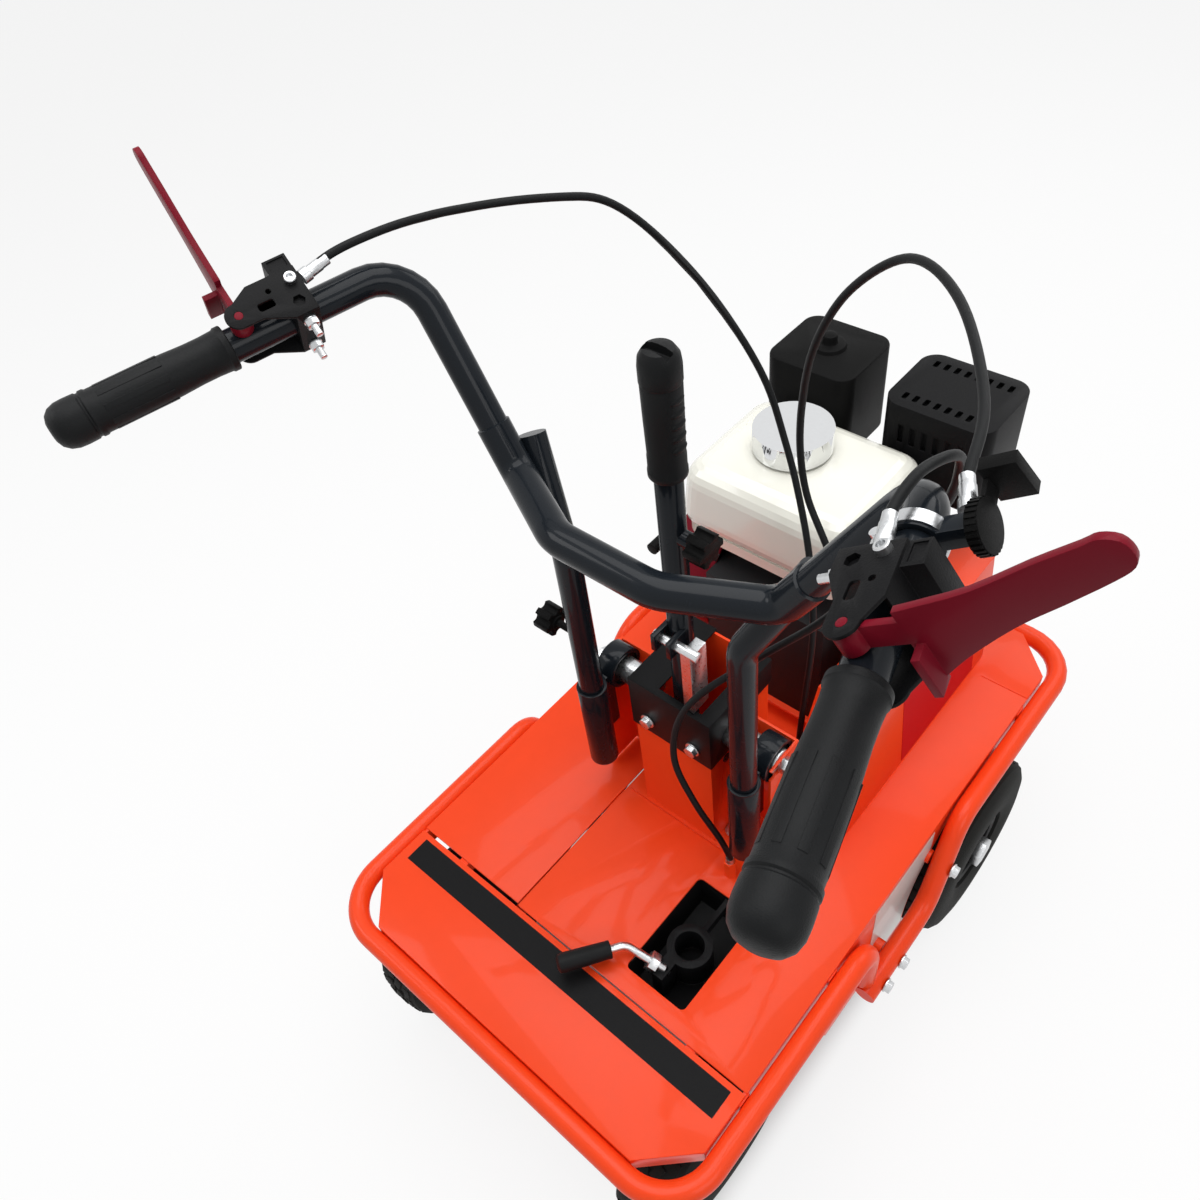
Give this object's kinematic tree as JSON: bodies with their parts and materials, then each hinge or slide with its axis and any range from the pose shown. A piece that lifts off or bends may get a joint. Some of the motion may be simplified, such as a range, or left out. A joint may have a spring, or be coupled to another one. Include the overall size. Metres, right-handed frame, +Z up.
{
  "type": "sod cutter",
  "caption": "Walk-behind sod cutter: deck on four wheels, petrol engine, belt-driven oscillating U blade, rubber-mounted handlebar with clutch levers, lift lever and depth clamp",
  "frame": {"origin": "on the ground under the middle of the whole machine", "axes": "X to the operator's right, Y forward, Z up"},
  "size_m": [0.7696, 0.88, 1.0985],
  "materials": {
    "orange_paint": "gloss enamel",
    "anthracite_paint": "gloss enamel",
    "black_paint": "satin black",
    "red_paint": "gloss enamel",
    "zinc": "zinc plated",
    "rubber_black": "matte",
    "tyre_rubber": "matte",
    "black_plastic": "fine texture",
    "cream_paint": "gloss enamel",
    "chrome_cap": "polished",
    "cast_alloy": "cast",
    "bare_steel": "machined"
  },
  "bodies": {
    "chassis": {"chassis_frame": "orange_paint", "deck_plate": "orange_paint", "left_deck_panel": "orange_paint", "rear_deck_panel": "orange_paint", "front_bumper": "orange_paint", "rear_bumper": "orange_paint", "tower_frame": "orange_paint", "belt_hood": "orange_paint", "post_sleeves": "anthracite_paint", "tower_cover": "black_paint", "depth_clamp": "black_paint", "muffler_guard": "black_paint", "recoil_cover": "red_paint", "frame_bolts": "zinc", "bush_rubbers": "rubber_black", "blade_cable": "rubber_black", "drive_cable": "rubber_black", "throttle_cable": "rubber_black", "blade_belt": "rubber_black", "drive_belt": "rubber_black", "air_cleaner": "black_plastic", "fuel_tank": "cream_paint", "engine_block": "cast_alloy", "carburettor": "cast_alloy", "gearbox": "cast_alloy", "muffler": "cast_alloy", "shaft_bearings": "bare_steel"},
    "handlebar": {"handlebar": "anthracite_paint", "handlebar_posts": "anthracite_paint", "handle_grips": "rubber_black", "left_bracket": "black_paint", "right_bracket": "black_paint", "throttle_body": "anthracite_paint", "bracket_bolts": "zinc"},
    "left_lever": {"left_lever": "red_paint"},
    "right_lever": {"right_lever": "red_paint"},
    "throttle_lever": {"throttle_lever": "black_plastic"},
    "height_knob": {"height_knob": "black_plastic"},
    "lift_lever": {"lift_lever": "anthracite_paint", "lift_grip": "rubber_black"},
    "lift_knob": {"lift_knob": "black_plastic"},
    "latch_bar": {"latch_bar": "zinc"},
    "depth_handle": {"depth_handle": "bare_steel"},
    "front_axle": {"front_axle": "zinc", "front_tyres": "tyre_rubber", "front_rims": "black_paint"},
    "rear_carrier": {"rear_carrier": "orange_paint"},
    "left_rear_wheel": {"left_rear_tyre": "tyre_rubber", "left_rear_rim": "black_paint"},
    "right_rear_wheel": {"right_rear_tyre": "tyre_rubber", "right_rear_rim": "black_paint"},
    "crankshaft": {"crankshaft": "bare_steel"},
    "recoil_grip": {"recoil_grip": "black_plastic"},
    "fuel_cap": {"fuel_cap": "chrome_cap"},
    "eccentric_shaft": {"eccentric_shaft": "bare_steel"},
    "connecting_rods": {"connecting_rods": "bare_steel"},
    "gearbox_pulley": {"gearbox_pulley": "bare_steel"},
    "blade_idler": {"blade_idler": "bare_steel"},
    "drive_idler": {"drive_idler": "bare_steel"},
    "sod_blade": {"sod_blade": "bare_steel"}
  },
  "joints": [
    {"name": "handlebar_height", "type": "slide", "parent": "chassis", "child": "handlebar", "axis": [0, 0, 1], "range_m": [0, 0.04], "deforming": ["blade_cable", "drive_cable", "throttle_cable"]},
    {"name": "left_lever", "type": "hinge", "parent": "handlebar", "child": "left_lever", "pos_m": [-0.287, -0.23647, 0.96899], "axis": [0.5028, -0.1722, 0.8471], "range_deg": [0, 35], "stiffness_Nm_per_rad": 2},
    {"name": "right_lever", "type": "hinge", "parent": "handlebar", "child": "right_lever", "pos_m": [0.287, -0.23647, 0.96899], "axis": [0.5028, 0.1722, -0.8471], "range_deg": [0, 35], "stiffness_Nm_per_rad": 2},
    {"name": "throttle_lever", "type": "hinge", "parent": "handlebar", "child": "throttle_lever", "pos_m": [0.29434, -0.13648, 0.99367], "axis": [0.8272, 0.1888, 0.5293], "range_deg": [-20, 30]},
    {"name": "height_knob", "type": "hinge", "parent": "handlebar", "child": "height_knob", "pos_m": [-0.13, -0.1, 0.585], "axis": [-1, 0, 0], "range_deg": [0, 360]},
    {"name": "lift_lever", "type": "hinge", "parent": "chassis", "child": "lift_lever", "pos_m": [0, -0.06, 0.45], "axis": [-1, 0, 0], "range_deg": [0, 9]},
    {"name": "lift_knob", "type": "hinge", "parent": "lift_lever", "child": "lift_knob", "pos_m": [0.023, -0.06, 0.765], "axis": [1, 0, 0], "range_deg": [0, 360]},
    {"name": "latch_bar", "type": "hinge", "parent": "lift_lever", "child": "latch_bar", "pos_m": [0, -0.081, 0.634], "axis": [-1, 0, 0], "range_deg": [-15, 0]},
    {"name": "depth_handle", "type": "hinge", "parent": "chassis", "child": "depth_handle", "pos_m": [0.09, -0.246, 0.298], "axis": [-0.8253, -0.2427, 0.5098], "range_deg": [0, 80]},
    {"name": "front_axle_spin", "type": "hinge", "parent": "chassis", "child": "front_axle", "pos_m": [0, 0.187, 0.13], "axis": [1, 0, 0], "continuous": true},
    {"name": "gearbox_pulley_spin", "type": "hinge", "parent": "chassis", "child": "gearbox_pulley", "pos_m": [0.108, 0.15, 0.222], "axis": [1, 0, 0], "continuous": true},
    {"name": "rear_carrier", "type": "hinge", "parent": "chassis", "child": "rear_carrier", "pos_m": [0, -0.168, 0.19], "axis": [1, 0, 0], "range_deg": [0, 13.5]},
    {"name": "left_rear_spin", "type": "hinge", "parent": "rear_carrier", "child": "left_rear_wheel", "pos_m": [-0.199, -0.308, 0.13], "axis": [1, 0, 0], "continuous": true},
    {"name": "right_rear_spin", "type": "hinge", "parent": "rear_carrier", "child": "right_rear_wheel", "pos_m": [0.199, -0.308, 0.13], "axis": [1, 0, 0], "continuous": true},
    {"name": "crankshaft_spin", "type": "hinge", "parent": "chassis", "child": "crankshaft", "pos_m": [0.12, 0.205, 0.436], "axis": [1, 0, 0], "continuous": true},
    {"name": "recoil_pull", "type": "slide", "parent": "chassis", "child": "recoil_grip", "axis": [-1, 0, 0], "range_m": [0, 0.1]},
    {"name": "fuel_cap_turn", "type": "hinge", "parent": "chassis", "child": "fuel_cap", "pos_m": [-0.058, 0.222, 0.66], "axis": [0, 0, 1], "range_deg": [0, 90]},
    {"name": "eccentric_spin", "type": "hinge", "parent": "chassis", "child": "eccentric_shaft", "pos_m": [0.13, 0.03, 0.205], "axis": [1, 0, 0], "continuous": true},
    {"name": "rod_swing", "type": "hinge", "parent": "eccentric_shaft", "child": "connecting_rods", "pos_m": [0.152, 0.03, 0.21], "axis": [1, 0, 0], "continuous": true},
    {"name": "blade_swing", "type": "hinge", "parent": "chassis", "child": "sod_blade", "pos_m": [0, -0.07, 0.205], "axis": [1, 0, 0], "range_deg": [-4, 4]},
    {"name": "blade_idler_swing", "type": "hinge", "parent": "chassis", "child": "blade_idler", "pos_m": [0.132, 0.156, 0.253], "axis": [1, 0, 0], "range_deg": [0, 3]},
    {"name": "drive_idler_swing", "type": "hinge", "parent": "chassis", "child": "drive_idler", "pos_m": [0.108, 0.225, 0.224], "axis": [1, 0, 0], "range_deg": [0, 3]}
  ],
  "couplings": [
    {"joint": "gearbox_pulley_spin", "follows": "front_axle_spin", "ratio": 18},
    {"joint": "lift_lever", "follows": "rear_carrier", "ratio": 0.66667},
    {"joint": "rod_swing", "follows": "eccentric_spin", "ratio": -1},
    {"joint": "blade_idler_swing", "follows": "left_lever", "ratio": 0.085714},
    {"joint": "drive_idler_swing", "follows": "right_lever", "ratio": 0.085714}
  ]
}
